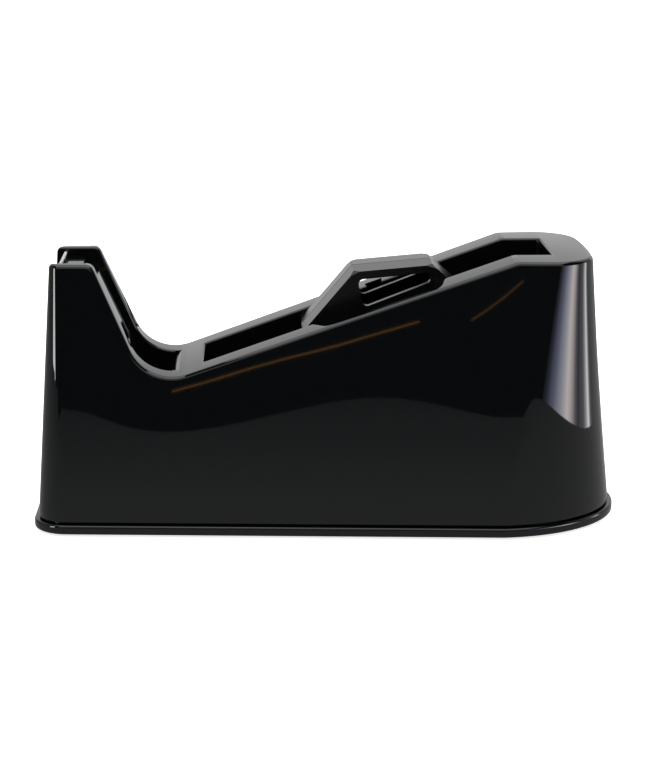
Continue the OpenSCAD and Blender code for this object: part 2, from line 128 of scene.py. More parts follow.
# %% [markdown]
# ## The side outline
# Seen from the side the casing's top runs flat over the cutter tower, down its steep back,
# round the valley, up the sloping rims and flat again behind the roll. Each bend is an arc
# that is tangent to the lines it joins.
# %% Side outline


def rounded_path(corners, radii, count=24):
    """A path through corners in X-Z whose bends are arcs tangent to both lines.
    Returns points and upward normals. The arc's centre is the corner plus both inward
    directions, scaled so that it lies one radius from each line."""
    corners = np.asarray(corners, float)
    points, normals = [corners[0]], []
    first = unit(corners[1] - corners[0])
    normals.append([-first[1], first[0]])
    for k in range(1, len(corners) - 1):
        a, b = unit(corners[k] - corners[k - 1]), unit(corners[k + 1] - corners[k])
        turn = np.arctan2(a[0] * b[1] - a[1] * b[0], a @ b)
        na, side = np.array([-a[1], a[0]]), np.sign(turn)
        start = corners[k] - a * radii[k - 1] * np.tan(abs(turn) / 2)
        centre = start + na * radii[k - 1] * side
        t = np.linspace(0, turn, count)
        n = np.stack([na[0] * np.cos(t) - na[1] * np.sin(t), na[0] * np.sin(t) + na[1] * np.cos(t)], axis=1)
        points.extend(centre - n * radii[k - 1] * side)
        normals.extend(n)
    last = unit(corners[-1] - corners[-2])
    points.append(corners[-1])
    normals.append([-last[1], last[0]])
    return np.array(points), np.array(normals)


def rim_z(x):
    """Height of the sloping rims' straight line at x."""
    return FLAT_Z - (FLAT_X - x) * np.tan(np.radians(RIM_SLOPE))


slope_t, rim_t = np.tan(np.radians(TOWER_SLOPE)), np.tan(np.radians(RIM_SLOPE))
valley_x = (TOWER_Z - rim_z(0) + TOWER_X * slope_t) / (rim_t + slope_t)
side_path, side_normals = rounded_path(
    [(-130, TOWER_Z), (TOWER_X, TOWER_Z), (valley_x, rim_z(valley_x)), (FLAT_X, FLAT_Z), (130, FLAT_Z)],
    [3.0, VALLEY_R, 6.0],
    40,
)


def top_at(x, inset=0.0):
    """Height and normal of the top surface at x, moved inset millimetres into the casing."""
    line = side_path - side_normals * inset
    z = np.interp(x, line[:, 0], line[:, 1])
    nx = np.interp(x, line[:, 0], side_normals[:, 0])
    nz = np.interp(x, line[:, 0], side_normals[:, 1])
    return z, unit(np.stack([nx, np.zeros_like(nx), nz], axis=-1))


print("lowest point of the valley:", round(float(side_path[:, 1].min()), 2), "mm")

# %% [markdown]
# ## The plan outlines
# The casing leans in as it rises: its plan at the base has rounded front corners and a half
# elliptical rear, and its plan at the top has tight corners and an almost straight back.
# Both are drawn with the same number of points, so a straight line joins each pair.
# %% Plan outlines of one side
CORNER_N, SIDE_N, REAR_N = 15, 210, 46


def side_fractions():
    """Fractions along a straight side, closer together where the side outline bends: the
    inverse of the running total of a density that peaks at the tower, valley and rim end."""
    x = np.linspace(TOP_FRONT_X, FLAT_X + 12, 2000)
    density = 0.8 + 3.0 * np.exp(-(((x + 84.5) / 3.5) ** 2)) + 1.6 * np.exp(-(((x + 66) / 16) ** 2))
    density += 1.5 * np.exp(-(((x - FLAT_X) / 3) ** 2))
    total = np.cumsum(density)
    share = (total - total[0]) / (total[-1] - total[0])
    return np.interp(np.linspace(0, 1, SIDE_N + 2)[1:-1], share, np.linspace(0, 1, 2000))


def half_plan(front_x, front_half, front_r, rear):
    """The left half of a plan from the front face to the middle of the rear: a corner arc,
    a straight side, then the rear curve. Returns X-Y points and outward normals, which are
    the path's direction turned a quarter to the right."""
    span = rear[0] - np.array([front_x + front_r, -front_half])
    lean = np.degrees(np.arctan2(-span[1], span[0]))
    corner = arc((front_x + front_r, -front_half + front_r), front_r, 180, 270 - lean, CORNER_N)
    side = corner[-1] + side_fractions()[:, None] * (rear[0] - corner[-1])
    points = np.vstack([corner, side, rear])
    step = np.gradient(points, axis=0)
    normals = unit(np.stack([step[:, 1], -step[:, 0]], axis=1))
    normals[0], normals[-1] = (-1, 0), (1, 0)
    return points, normals


turn = np.linspace(0, 1, REAR_N)
base_angle = np.radians(-87 + 86.5 * turn)
base_rear = np.stack([59.75 + 46.5 * np.cos(base_angle), 37.75 * np.sin(base_angle)], axis=1)
BACK_R, BACK_SHARE = 245.0, 12
back_arc = arc((TOP_REAR_X - BACK_R, 0), BACK_R, -4, -0.1, BACK_SHARE)
corner_centre = back_arc[0] - 16 * np.array([np.cos(np.radians(4)), -np.sin(np.radians(4))])
top_rear = np.vstack([arc(corner_centre, 16, -86, -4, REAR_N - BACK_SHARE + 1)[:-1], back_arc])
base_plan, base_normals = half_plan(FRONT_X, 28.0, 11.5, base_rear)
top_plan, top_normals = half_plan(TOP_FRONT_X, 19.5, 3.5, top_rear)
half_widths = [round(float(np.abs(plan[:, 1]).max()), 2) for plan in (base_plan, top_plan)]
print("plan points per side:", len(base_plan), "half widths:", half_widths)


def plan_at(z, offset=0.0):
    """Left half of the casing's plan at height z, moved outwards by offset: a straight blend
    between base and top outlines. z may hold one height per point."""
    f = ((np.asarray(z, float) - LOW_Z) / (TOP_Z - LOW_Z) + np.zeros(len(base_plan)))[:, None]
    normals = unit(base_normals * (1 - f) + top_normals * f)
    return base_plan * (1 - f) + top_plan * f + normals * offset, normals


def level(z, offset=0.0):
    """The same half plan as points in space at one height."""
    points, _ = plan_at(z, offset)
    return np.column_stack([points, np.full(len(points), float(z))])


# %% [markdown]
# ## Closed bodies from half loops
# The casing is the same on both sides, apart from its finger scoop. So a body is a stack of
# half loops on the left side, mirrored to the right, joined in rings and closed by strips
# that run straight across from each point to its mirror image.
# %% Half loops to a closed body


def closed_body(name, half_rows, sharp_deg=32.0):
    """A closed mesh from rows of left half loops, lowest first: mirror in Y, quads between
    rows, and strips from side to side over the first and last rows."""
    rows = np.asarray(half_rows, float)
    mirrored = rows[:, ::-1] * np.array([1, -1, 1])
    rings = np.concatenate([rows, mirrored], axis=1)
    count, around = rings.shape[:2]
    faces = grid_faces(count, around, close_cols=True)
    i = np.arange(rows.shape[1] - 1)
    strips = np.stack([i, i + 1, around - 2 - i, around - 1 - i], axis=1)
    faces = np.vstack([faces, strips[:, ::-1], strips + (count - 1) * around])
    return new_mesh(name, rings.reshape(-1, 3), faces, sharp_deg)


def prism(name, outline, y0, y1):
    """A closed body: an X-Z outline carried straight across from y0 to y1."""
    outline = np.asarray(outline, float)
    count = len(outline)
    ends = [np.column_stack([outline[:, 0], np.full(count, y), outline[:, 1]]) for y in (y0, y1)]
    faces = [list(f) for f in grid_faces(2, count, close_cols=True)]
    faces += [list(range(count - 1, -1, -1)), list(range(count, 2 * count))]
    shift = np.roll(outline, -1, axis=0)
    area = (outline[:, 0] * shift[:, 1] - shift[:, 0] * outline[:, 1]).sum()
    return new_mesh(name, np.vstack(ends), faces, flip=area > 0)


def cut(piece, cutters, sharp_deg=32.0):
    """Takes each cutter out of piece with an exact boolean, keeps the result as piece's own
    mesh and deletes the cutters."""
    for tool in cutters:
        step = piece.modifiers.new("cut " + tool.name, "BOOLEAN")
        step.operation, step.solver, step.object = "DIFFERENCE", "EXACT", tool
    bpy.context.view_layer.update()
    made = bpy.data.meshes.new_from_object(piece.evaluated_get(bpy.context.evaluated_depsgraph_get()))
    piece.modifiers.clear()
    piece.data = made
    made.name = piece.name
    for tool in cutters:
        bpy.data.objects.remove(tool)
    shade(made, sharp_deg)
    return piece


# %% [markdown]
# ## The casing's outer skin
# On the real moulding a smooth round joins each leaning wall to the top. A ball of that
# radius that rolls in the corner touches both surfaces, so its centre is on both surfaces
# moved inwards, and the round is the arc between the two touching directions.
# %% Casing skin


def casing_rows():
    """Half loops of the skin from the seam up: a shadow gap at the base, the leaning wall,
    then the rolling ball's arc. The ball's height is found by repeating z = top height at
    the x of the wall moved inwards."""
    z = np.full(len(base_plan), 90.0)
    for _ in range(60):
        inner, normals = plan_at(z, -EDGE_R)
        z = top_at(inner[:, 0], EDGE_R)[0]
    lean_in = -((top_plan - base_plan) * normals).sum(1) / (TOP_Z - LOW_Z)
    wall_n = unit(np.column_stack([normals, lean_in]))
    top_n = top_at(inner[:, 0], EDGE_R)[1]
    centre = np.column_stack([inner, z])
    angle = np.arccos(np.clip((wall_n * top_n).sum(1), -1, 1))[:, None]
    ball = []
    for t in np.linspace(0, 1, 10):
        direction = (np.sin((1 - t) * angle) * wall_n + np.sin(t * angle) * top_n) / np.sin(angle)
        ball.append(centre + EDGE_R * direction)
    rows = [level(SHELL_Z, -1.6), level(SHELL_Z + 0.5, -1.6)]
    for t in np.radians(np.linspace(-90, 0, 5)):
        rows.append(level(SHELL_Z + 1.0 + 0.5 * np.sin(t), -0.5 + 0.5 * np.cos(t)))
    foot = rows[-1]
    rows += [foot + (ball[0] - foot) * t for t in np.linspace(0, 1, 30)[1:-1]]
    return rows + ball


casing = closed_body("casing_skin", casing_rows())
print("casing skin:", len(casing.data.polygons), "faces")

# %% [markdown]
# ## The roll well, tape channel, scoop and axle slots
# These are taken out of the skin with cutters. The well's cutter flares at its mouth, so
# the cut leaves a small round along the rims, which catches the light as a moulded edge.
# %% Well cutter
MOUTH_R = 0.9


def well_half(x):
    """Half width of the well at x, on a straight line between its two ends."""
    return np.interp(x, WELL_X, WELL_HALF)


def well_row(grow, depth=None, z=None):
    """Half loop of the well moved outwards by grow, at a depth under the top or a height."""
    corner_r = 1.2 + grow
    fx, rx = WELL_X[0] - grow, WELL_X[1] + grow
    fy, ry = -well_half(WELL_X[0]) - grow, -well_half(WELL_X[1]) - grow
    front = arc((fx + corner_r, fy + corner_r), corner_r, 180, 269, 7)
    rear = arc((rx - corner_r, ry + corner_r), corner_r, 271, 360, 7)
    along_rim = np.linspace(front[-1, 0], FLAT_X - 3, 40)[1:]
    along_flat = np.linspace(FLAT_X - 2.5, rear[0, 0], 24)[:-1]
    x = np.concatenate([along_rim, along_flat])
    side = np.column_stack([x, np.interp(x, (front[-1, 0], rear[0, 0]), (front[-1, 1], rear[0, 1]))])
    points = np.vstack([front, side, rear])
    height = top_at(points[:, 0])[0] - depth if z is None else np.full(len(points), z)
    return np.column_stack([points, height])


flare = [np.radians(a) for a in (0, 15, 30, 45, 60, 75, 84)]
well_rows = [well_row(0, z=WELL_FLOOR), well_row(0, depth=6)]
well_rows += [well_row(MOUTH_R * (1 - np.cos(a)), depth=MOUTH_R * (1 - np.sin(a))) for a in flare]
well_rows.append(well_row(MOUTH_R * (1 - np.cos(flare[-1])), depth=-9))
well_cutter = closed_body("well_cutter", well_rows)

# %% [markdown]
# The tape runs in a channel between the tower's cheeks. Seen from the side its floor drops
# from the holder's seat to a deep slit, and comes up over the bridge's rounded nose.
# %% Channel, slot and scoop cutters
SEAT_Z, POCKET_X, POCKET_Z = 88.8, -93.3, 84.3
HOLDER_INSET = 4.5


def tower_back(z, inset):
    """The x at height z of the tower's back, moved inset millimetres into the tower."""
    return TOWER_X + (TOWER_Z - z) / slope_t - inset / np.sin(np.radians(TOWER_SLOPE))


nose_end = np.degrees(np.arctan2(BRIDGE[1] - NOSE[1], BRIDGE[0] - NOSE[0]))
channel_outline = np.vstack(
    [
        [(-130, 130), (-130, POCKET_Z), (POCKET_X, POCKET_Z), (POCKET_X, SEAT_Z)],
        [(tower_back(z, HOLDER_INSET), z) for z in (SEAT_Z, CHANNEL_FLOOR)],
        [(NOSE[0] - NOSE_R, CHANNEL_FLOOR)],
        arc(NOSE, NOSE_R, 180, nose_end, 26),
        [(BRIDGE[0], 130)],
    ]
)
channel_cutter = prism("channel_cutter", channel_outline, -CHANNEL_HALF, CHANNEL_HALF)


def at_axis(outline):
    """Moves an X-Z outline drawn square to the rims, with the hub's axis at 0, 0, into place."""
    a = np.radians(RIM_SLOPE)
    u, v = np.asarray(outline, float).T
    x, z = u * np.cos(a) - v * np.sin(a), u * np.sin(a) + v * np.cos(a)
    return np.column_stack([AXIS[0] + x, AXIS[2] + z])


SLOT_R, SLOT_END, RIM_DROP = 2.86, 20.5, 24.4
LEAD_R = 0.7  # round at the slot's mouth, which leads the axle in
ABOVE = 60  # a height that clears the rims
lead_x, lead_z = SLOT_R + LEAD_R, RIM_DROP - LEAD_R
slot_outline = np.vstack(
    [
        arc((0, 0), SLOT_R, 180, 360, 25),
        [(SLOT_R, lead_z)],
        arc((lead_x, lead_z), LEAD_R, 180, 96, 6),
        [(lead_x - 0.05, ABOVE), (0.05 - lead_x, ABOVE)],
        arc((-lead_x, lead_z), LEAD_R, 84, 0, 6),
    ]
)
slot_cutter = prism("slot_cutter", at_axis(slot_outline), -SLOT_END, SLOT_END)


def scoop_body():
    """The scoop is a cone whose axis runs across the body, with a round at its outer end:
    rings of radius r at distance y, along the profile given."""
    bend = np.radians(np.linspace(25, 90, 9))
    round_end = np.column_stack([-23.4 - 2.6 * np.sin(bend), 19.9 + 2.6 * np.cos(bend)])
    profile = np.vstack([[(-13.0, 27.4)], round_end])
    t = np.linspace(0, 2 * np.pi, 121)[:-1]
    rings = []
    for y, r in profile:
        ring = at_axis(np.column_stack([r * np.cos(t), RIM_DROP + 6 + r * np.sin(t)]))
        rings.append(np.column_stack([ring[:, 0], np.full(len(t), y), ring[:, 1]]))
    count = len(t)
    faces = [list(f) for f in grid_faces(len(rings), count, close_cols=True)]
    last = (len(rings) - 1) * count
    faces += [list(range(count - 1, -1, -1)), list(range(last, last + count))]
    return new_mesh("scoop_cutter", np.vstack(rings), faces)


scoop_cutter = scoop_body()


def edge_rounder(name, path, outward, upward, radius):
    """A cutter that rounds an edge: along path it holds the corner between the edge's two
    faces and the arc that is tangent to both. outward points away from the opening."""
    a = np.radians(np.linspace(2, 84, 8))
    section = [(radius * (1 - np.cos(k)), -radius * (1 - np.sin(k))) for k in a]
    section = np.array([(-0.3, -radius)] + section + [(section[-1][0], 0.6), (-0.3, 0.6)])
    path, outward, upward = [np.asarray(v, float)[:, None, :] for v in (path, outward, upward)]
    points = path + section[None, :, :1] * outward + section[None, :, 1:] * upward
    rows, cols = points.shape[:2]
    faces = [list(f) for f in grid_faces(rows, cols, close_cols=True)]
    faces += [list(range(cols - 1, -1, -1)), list(range((rows - 1) * cols, rows * cols))]
    side = np.sign(outward[0, 0, 1])
    return new_mesh(name, points.reshape(-1, 3), faces, flip=side < 0)


def cheek_rounders():
    """One rounder along each cheek's inner edge, over the tower's top and down its back."""
    keep = (side_path[:, 0] > -110) & (side_path[:, 0] < -56)
    path, normal = side_path[keep], side_normals[keep]
    path = np.vstack([[(-112, TOWER_Z)], path])
    normal = np.vstack([[(0, 1)], normal])
    made = []
    for side in (-1, 1):
        line = np.column_stack([path[:, 0], np.full(len(path), side * CHANNEL_HALF), path[:, 1]])
        up = np.column_stack([normal[:, 0], np.zeros(len(path)), normal[:, 1]])
        made.append(edge_rounder("cheek_rounder", line, np.tile((0, side, 0), (len(path), 1)), up, 0.9))
    return made


cut(casing, [well_cutter, channel_cutter, scoop_cutter, slot_cutter] + cheek_rounders())
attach(casing, "casing")
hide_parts("body_shell")
print("casing after cutting:", len(casing.data.polygons), "faces")

# %% [markdown]
# ## The base plate
# The plate closes the casing from below, and its edge stands out as a thin lip with soft
# corners. Its underside has the recesses of the screws and the seats of the feet.
# %% Base plate
LIP = 1.5
UNDER_R, OVER_R = 0.7, 0.9  # rounds under and over the lip's edge
SCREW_RECESS_R, FOOT_SEAT_R = 3.1, 6.65


def plate_rows():
    """Half loops of the plate from its underside up: two quarter arcs round the lip's edge."""
    rows = [level(PLATE_Z, LIP - UNDER_R - 0.4)]
    for t in np.radians(np.linspace(-90, 0, 6)):
        rows.append(level(PLATE_Z + UNDER_R * (1 + np.sin(t)), LIP - UNDER_R * (1 - np.cos(t))))
    for t in np.radians(np.linspace(0, 90, 6)):
        rows.append(level(SHELL_Z - OVER_R * (1 - np.sin(t)), LIP - OVER_R * (1 - np.cos(t))))
    for row in rows:
        row[:, :2] = plan_at(LOW_Z)[0] + (row[:, :2] - plan_at(row[0, 2])[0])
    rows.append(level(SHELL_Z, -2.0))
    return rows


def drum(name, x, y, z0, z1, radius):
    """A closed upright cylinder used as a cutter."""
    t = np.linspace(0, 2 * np.pi, 49)[:-1]
    ring = np.column_stack([x + radius * np.cos(t), y + radius * np.sin(t)])
    points = np.vstack([np.column_stack([ring, np.full(48, z)]) for z in (z0, z1)])
    faces = [list(f) for f in grid_faces(2, 48, close_cols=True)]
    faces += [list(range(47, -1, -1)), list(range(48, 96))]
    return new_mesh(name, points, faces)


plate = closed_body("base_lip_plate", plate_rows())
recesses = []
for node in ("base_screws", "weight_screws"):
    mesh = frame["nodes"][node].data
    co = np.zeros(len(mesh.vertices) * 3, np.float32)
    mesh.vertices.foreach_get("co", co)
    xy = co.reshape(-1, 3)[:, :2] / MM
    quadrants = {(bool(a), bool(b) if node == "base_screws" else False) for a, b in xy > 0}
    for right, far in sorted(quadrants):
        keep = (xy[:, 0] > 0) == right
        if node == "base_screws":
            keep &= (xy[:, 1] > 0) == far
        mid = (xy[keep].min(0) + xy[keep].max(0)) / 2
        recesses.append(drum("recess", mid[0], mid[1], -2, 3.2, SCREW_RECESS_R))
for foot in ("front_left_foot", "front_right_foot", "rear_left_foot", "rear_right_foot"):
    a, b = [np.array(v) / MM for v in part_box(foot)]
    mid = (a + b) / 2
    recesses.append(drum("seat", mid[0], mid[1], -2, 2.0, FOOT_SEAT_R))
cut(plate, recesses)
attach(plate, "casing")
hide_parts("base_plate")
print("base plate:", len(recesses), "recesses")

# %% [markdown]
# ## The core hub
# The roll turns on an octagonal drum in two halves. Each corner of its outer face is cut off
# by a small triangular facet, and four windows in each face let fingers turn it.
# %% Hub halves
HUB_R, HUB_HALF, HUB_TURN, HUB_DRAFT = 37.5, 12.0, 4.8, 0.4
FACET, FACET_DEPTH = 2.1, 2.4
HUB_WALL = 2.6
BORE_R, BOSS_R = 12.65, 15.2  # hole for the arbor, and the boss round it
HEAD_R, HEAD_DEPTH, SCREW_REACH = 3.05, 1.8, 18
WINDOW_R = 1.8


def hub_place(local, side):
    """Puts hub points (u along the rims' direction at rest, y outwards, v up) in the frame."""
    a = np.radians(HUB_TURN)
    u, y, v = np.asarray(local, float).T
    x, z = u * np.cos(a) - v * np.sin(a), u * np.sin(a) + v * np.cos(a)
    return np.column_stack([AXIS[0] + x, side * y, AXIS[2] + z])


def corner_points(radius, shift_mm=0.0):
    """Octagon corners radius * (cos, sin) of odd multiples of 22.5 degrees, each moved
    shift_mm along the side that follows it (or back along the one before it, if negative)."""
    k = np.arange(8)
    here = np.radians(22.5 + 45 * k)
    p = radius * np.stack([np.cos(here), np.sin(here)], axis=1)
    if shift_mm:
        q = np.roll(p, -1 if shift_mm > 0 else 1, axis=0)
        p = p + unit(q - p) * abs(shift_mm)
    return p


def hub_drum(side):
    """Outer body of one half: eight sides, an outer face with its corners cut off, and one
    triangle at each corner. Points come in five rings of eight."""
    outer_r = HUB_R - HUB_DRAFT
    part_r = HUB_R
    ring_part = np.insert(corner_points(part_r - 0.25), 1, 0.0, axis=1)
    ring_lip = np.insert(corner_points(part_r), 1, 0.3, axis=1)
    ring_axial = np.insert(corner_points(outer_r + 0.08), 1, HUB_HALF - FACET_DEPTH, axis=1)
    ring_before = np.insert(corner_points(outer_r, -FACET), 1, HUB_HALF, axis=1)
    ring_after = np.insert(corner_points(outer_r, FACET), 1, HUB_HALF, axis=1)
    points = np.vstack([ring_part, ring_lip, ring_axial, ring_before, ring_after])
    k = np.arange(8)
    n = (k + 1) % 8
    faces = [list(f) for f in np.stack([k, n, 8 + n, 8 + k], axis=1)]
    faces += [[8 + a, 8 + b, 16 + b, 24 + b, 32 + a, 16 + a] for a, b in zip(k, n)]
    faces += [[16 + a, 32 + a, 24 + a] for a in k]
    faces.append([i for a in k for i in (24 + a, 32 + a)])
    faces.append(list(range(7, -1, -1)))
    name = "hub_drum_left" if side < 0 else "hub_drum_right"
    return new_mesh(name, hub_place(points, side), faces, flip=side > 0)


def rounded_loop(corners, radius, count=6):
    """A closed outline whose corners are arcs of one radius."""
    corners = np.asarray(corners, float)
    before, after = [unit(np.roll(corners, step, axis=0) - corners) for step in (1, -1)]
    half = np.arccos((before * after).sum(1)) / 2
    loop = []
    for c, b, a, h in zip(corners, before, after, half):
        centre = c + unit(a + b) * radius / np.sin(h)
        start, end = c + b * radius / np.tan(h) - centre, c + a * radius / np.tan(h) - centre
        t = np.linspace(0, 1, count)[:, None]
        loop.append(centre + radius * unit(start * (1 - t) + end * t))
    return np.vstack(loop)


WINDOW = [(-13.1, 31.3), (-11.8, 20.9), (13.0, 28.1), (13.3, 31.6)]


def hub_cutter(name, outline, y0, y1, side, turn_deg=0):
    """A prism through the hub: an outline in its face, turned about the axis."""
    a = np.radians(turn_deg)
    u, v = np.asarray(outline, float).T
    turned = np.column_stack([u * np.cos(a) - v * np.sin(a), u * np.sin(a) + v * np.cos(a)])
    count = len(turned)
    ends = [hub_place(np.insert(turned, 1, y, axis=1), side) for y in (y0, y1)]
    faces = [list(f) for f in grid_faces(2, count, close_cols=True)]
    faces += [list(range(count - 1, -1, -1)), list(range(count, 2 * count))]
    shift = np.roll(turned, -1, axis=0)
    area = (turned[:, 0] * shift[:, 1] - shift[:, 0] * turned[:, 1]).sum()
    return new_mesh(name, np.vstack(ends), faces, flip=(area * side) > 0)


def hub_ring(name, inner_r, outer_r, y0, y1, side):
    """The boss round the arbor: a tube made of four rings."""
    t = np.linspace(0, 2 * np.pi, 73)[:-1]
    circle = np.stack([np.cos(t), np.sin(t)], axis=1)
    section = ((inner_r, y0), (outer_r, y0), (outer_r, y1), (inner_r, y1))
    rings = [np.insert(circle * r, 1, y, axis=1) for r, y in section]
    faces = grid_faces(4, 72, close_rows=True, close_cols=True)
    return new_mesh(name, hub_place(np.vstack(rings), side), faces, flip=side > 0)


def hub_half(side):
    """One half: the drum, hollowed to a thin wall, with its windows, bore and screw holes."""
    piece = hub_drum(side)
    t = np.linspace(0, 2 * np.pi, 73)[:-1]
    circle = np.stack([np.cos(t), np.sin(t)], axis=1)
    window, past = rounded_loop(WINDOW, WINDOW_R), HUB_HALF + 1
    inside = corner_points(HUB_R - HUB_DRAFT - HUB_WALL)
    cutters = [hub_cutter("hollow", inside, -1, HUB_HALF - HUB_WALL, side)]
    cutters += [hub_cutter("window", window, 4, past, side, a) for a in (0, 90, 180, 270)]
    cutters.append(hub_cutter("bore", circle * BORE_R, 4, past, side))
    if side < 0:
        for k in (-1, 1):
            seat = circle * HEAD_R + (SCREW_REACH * k, 0)
            cutters.append(hub_cutter("head", seat, HUB_HALF - HEAD_DEPTH, past, side))
    cut(piece, cutters, 25)
    boss = hub_ring("boss", BORE_R, BOSS_R, 0.4, HUB_HALF - HUB_WALL + 0.05, side)
    with bpy.context.temp_override(active_object=piece, selected_editable_objects=[piece, boss]):
        bpy.ops.object.join()
    edges = piece.modifiers.new("moulded edges", "BEVEL")
    edges.width, edges.segments = 0.35 * MM, 2
    edges.limit_method, edges.angle_limit = "ANGLE", np.radians(25)
    return piece


for side, node in ((-1, "left_hub_half"), (1, "right_hub_half")):
    half = hub_half(side)
    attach(half, "hub")
    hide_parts(node)
    print(half.name, len(half.data.polygons), "faces")

# %% [markdown]
# ## Finishes
# A material is a few shader nodes. One function adds a node with its settings and links,
# and another turns a colour as designers write it, in sRGB hex, into the linear numbers
# that the renderer needs.
# %% Colour and node helpers


def linear(hex_colour):
    """sRGB hex to linear: c / 12.92 below 0.04045, else ((c + 0.055) / 1.055) to the 2.4."""
    c = np.array([int(hex_colour[i : i + 2], 16) / 255 for i in (1, 3, 5)])
    c = np.where(c <= 0.04045, c / 12.92, ((c + 0.055) / 1.055) ** 2.4)
    return (*[float(v) for v in c], 1.0)


def add_node(tree, kind, settings=None, links=None):
    """Adds a node, sets its properties or input values by name, and links inputs to sockets."""
    node = tree.nodes.new(kind)
    for key, value in (settings or {}).items():
        if key in node.inputs:
            node.inputs[key].default_value = value
        else:
            setattr(node, key, value)
    for key, socket in (links or {}).items():
        tree.links.new(socket, node.inputs[key])
    return node


def finish_of(name, settings, bump=None):
    """A Principled material with plain settings, and optionally a bump from a noise whose
    scale is one over the size of its features in metres. bump = (feature mm, height mm)."""
    material = bpy.data.materials.new(name)
    material.use_nodes = True
    tree = material.node_tree
    tree.nodes.clear()
    shader = add_node(tree, "ShaderNodeBsdfPrincipled", settings)
    add_node(tree, "ShaderNodeOutputMaterial", links={"Surface": shader.outputs[0]})
    if bump:
        place = add_node(tree, "ShaderNodeTexCoord")
        noise = add_node(
            tree,
            "ShaderNodeTexNoise",
            {"Scale": 1 / (bump[0] * MM), "Detail": 1.0, "Roughness": 0.4},
            {"Vector": place.outputs["Object"]},
        )
        depth = {"Distance": bump[1] * MM, "Strength": 1.0}
        height = add_node(tree, "ShaderNodeBump", depth, {"Height": noise.outputs["Fac"]})
        tree.links.new(height.outputs["Normal"], shader.inputs["Normal"])
    return material


# %% [markdown]
# The casing is injection-moulded ABS, dyed black right through and moulded in a polished
# tool. Black plastic shows almost only reflections, so its roughness is very low and its
# index of refraction is the plastic's own, about 1.5. A thick moulding also sinks a little
# as it cools, which bends long reflections, so a very low, wide bump is added.
# %% Plastics, steel, iron, nylon and rubber
gloss_black = finish_of(
    "gloss_black_moulded_abs",
    {"Base Color": linear("#060708"), "Roughness": 0.025, "IOR": 1.5},
    bump=(38.0, 0.05),
)
satin_black = finish_of(
    "satin_black_moulded_abs", {"Base Color": linear("#08090a"), "Roughness": 0.22, "IOR": 1.5}
)
bright_steel = finish_of(
    "bright_ground_steel", {"Base Color": linear("#c9ccd0"), "Metallic": 1.0, "Roughness": 0.24}
)
cast_iron = finish_of(
    "sand_cast_iron", {"Base Color": linear("#4a4a4c"), "Metallic": 1.0, "Roughness": 0.6}, bump=(1.5, 0.1)
)
nylon = finish_of("natural_nylon", {"Base Color": linear("#e4e0d2"), "Roughness": 0.5, "IOR": 1.53})
rubber = finish_of("black_rubber", {"Base Color": linear("#151515"), "Roughness": 0.75, "IOR": 1.52})

FINISHES = {
    "casing": gloss_black,
    "insert": gloss_black,
    "base": gloss_black,
    "hub": satin_black,
    "steel": bright_steel,
    "iron": cast_iron,
    "nylon": nylon,
    "rubber": rubber,
}


def dress(piece, material):
    """Gives a piece one material on all its faces."""
    piece.data.materials.clear()
    piece.data.materials.append(material)


for entry in frame["record"]["subparts"]:
    dress(frame["nodes"][entry["node"]], FINISHES[entry["material_slot"]])
for piece in (casing, plate):
    dress(piece, gloss_black)
for piece in [o for o in bpy.data.objects if o.name.startswith("hub_drum")]:
    dress(piece, satin_black)
for node, width in (("blade_holder", 0.3), ("core_arbor", 0.3), ("axle", 0.25)):
    rounding = frame["nodes"][node].modifiers.new("moulded edges", "BEVEL")
    rounding.width, rounding.segments, rounding.limit_method = width * MM, 2, "ANGLE"
    rounding.angle_limit = np.radians(40)
print("finishes:", sorted({m.name for m in FINISHES.values()}))

# %% [markdown]
# ## Camera
# The camera stands about 0.7 m away, a little left of the middle and slightly above,
# with a long lens.
# %% Camera


def add_camera(place_mm, pitch_deg, yaw_deg, lens):
    """A camera that looks along +Y, turned yaw towards +X and tilted pitch downwards."""
    camera = bpy.data.objects.new("camera", bpy.data.cameras.new("camera"))
    camera.data.lens, camera.data.sensor_width, camera.data.sensor_fit = lens, 36.0, "AUTO"
    camera.data.clip_start, camera.data.clip_end = 0.01, 50.0
    camera.location = [v * MM for v in place_mm]
    camera.rotation_euler = (np.radians(90 - pitch_deg), 0.0, np.radians(-yaw_deg))
    bpy.context.scene.collection.objects.link(camera)
    bpy.context.scene.camera = camera
    return camera


camera = add_camera((-27.5, -682.0, 227.1), 14.74, 2.18, 88.37)
print("camera lens", camera.data.lens, "mm")


def glow(name, strength, stops, axis="X"):
    """A material that only gives off light. With several stops (place, hex colour) the
    colour blends across the card, from 0 at its low side to 1 at its high side."""
    material = bpy.data.materials.new(name)
    material.use_nodes = True
    tree = material.node_tree
    tree.nodes.clear()
    light = add_node(tree, "ShaderNodeEmission", {"Color": linear(stops[0][1]), "Strength": strength})
    if len(stops) > 1:
        place = add_node(tree, "ShaderNodeTexCoord")
        along = add_node(tree, "ShaderNodeSeparateXYZ", links={"Vector": place.outputs["Generated"]})
        ramp = add_node(tree, "ShaderNodeValToRGB", links={"Fac": along.outputs[axis]})
        marks = ramp.color_ramp.elements
        for _ in stops[2:]:
            marks.new(0.5)
        for mark, (where, colour) in zip(marks, stops):
            mark.position, mark.color = where, linear(colour)
        tree.links.new(ramp.outputs["Color"], light.inputs["Color"])
    add_node(tree, "ShaderNodeOutputMaterial", links={"Surface": light.outputs[0]})
    return material


def stage_card(piece, material, camera_sees=False):
    """Dresses a studio card. The camera sees it, or else only reflections do."""
    dress(piece, material)
    piece.visible_camera, piece.visible_glossy = camera_sees, not camera_sees
    piece.visible_diffuse = piece.visible_shadow = camera_sees


def level_card(name, z, x, y):
    """A level rectangle between two x and two y values."""
    corners = [(x[0], y[0], z), (x[1], y[0], z), (x[1], y[1], z), (x[0], y[1], z)]
    return new_mesh(name, corners, [(0, 1, 2, 3)])


